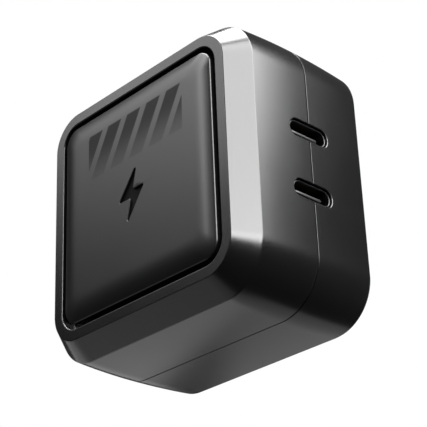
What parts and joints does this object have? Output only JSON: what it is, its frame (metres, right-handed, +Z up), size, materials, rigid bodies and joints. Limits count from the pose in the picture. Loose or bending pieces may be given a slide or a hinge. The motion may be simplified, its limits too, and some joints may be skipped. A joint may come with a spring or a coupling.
{
  "type": "usb wall charger",
  "caption": "Square wall charger with a framed front panel, chamfered rim, USB-C ports in one side and a folding bladed plug in its back.",
  "frame": {"origin": "bottom centre of the bounding box, with the plug folded", "axes": "+X towards the side with the USB-C ports, +Y towards the wall the charger plugs into, +Z up, with the plug's hinge in the upper half"},
  "size_m": [0.052, 0.0308, 0.052],
  "materials": {
    "casing": "satin",
    "panel": "satin",
    "adhesive": "matt",
    "inner_plastic": "matt",
    "blade_plating": "nickel plated",
    "steel": "plated",
    "spring_bronze": "bare",
    "live_insulation": "matt",
    "neutral_insulation": "matt",
    "circuit_board": "solder resist",
    "chip": "matt",
    "spreader_aluminium": "rolled",
    "film": "satin",
    "gap_pad": "matt",
    "capacitor_sleeve": "shrink sleeve",
    "capacitor_can": "drawn",
    "ferrite": "sintered",
    "bobbin": "satin",
    "winding_tape": "satin",
    "copper": "enamelled",
    "fuse_case": "gloss",
    "film_capacitor": "satin",
    "disc_capacitor": "gloss"
  },
  "bodies": {
    "charger": {"front_housing": "casing", "front_panel": "panel", "panel_adhesive": "adhesive", "rear_housing": "casing", "cradle_cover": "inner_plastic", "cradle_screw_left": "steel", "cradle_screw_right": "steel", "contact_spring_left": "spring_bronze", "contact_spring_right": "spring_bronze", "detent_spring": "steel", "live_lead": "live_insulation", "neutral_lead": "neutral_insulation", "usb_shell_upper": "steel", "usb_tongue_upper": "inner_plastic", "usb_shell_lower": "steel", "usb_tongue_lower": "inner_plastic", "output_board": "circuit_board", "port_controller": "chip", "main_board": "circuit_board", "heat_spreader": "spreader_aluminium", "insulating_film": "film", "gap_pad": "gap_pad", "power_switch": "chip", "sync_rectifier": "chip", "primary_controller": "chip", "bulk_capacitor_1": "capacitor_sleeve", "bulk_capacitor_2": "capacitor_sleeve", "bulk_capacitor_3": "capacitor_sleeve", "transformer_core_lower": "ferrite", "transformer_core_upper": "ferrite", "transformer_bobbin": "bobbin", "transformer_winding": "winding_tape", "choke_core": "ferrite", "choke_winding_live": "copper", "choke_winding_neutral": "copper", "fuse": "fuse_case", "film_capacitor": "film_capacitor", "disc_capacitor": "disc_capacitor", "bridge_rectifier": "chip", "output_capacitor_1": "capacitor_can", "output_capacitor_2": "capacitor_can"},
    "plug": {"plug_carrier": "inner_plastic", "blade_left": "blade_plating", "blade_right": "blade_plating"}
  },
  "joints": [
    {"name": "plug_fold", "type": "hinge", "parent": "charger", "child": "plug", "pos_m": [0, 0.01192, 0.034], "axis": [1, 0, 0], "range_deg": [0, 90]}
  ]
}
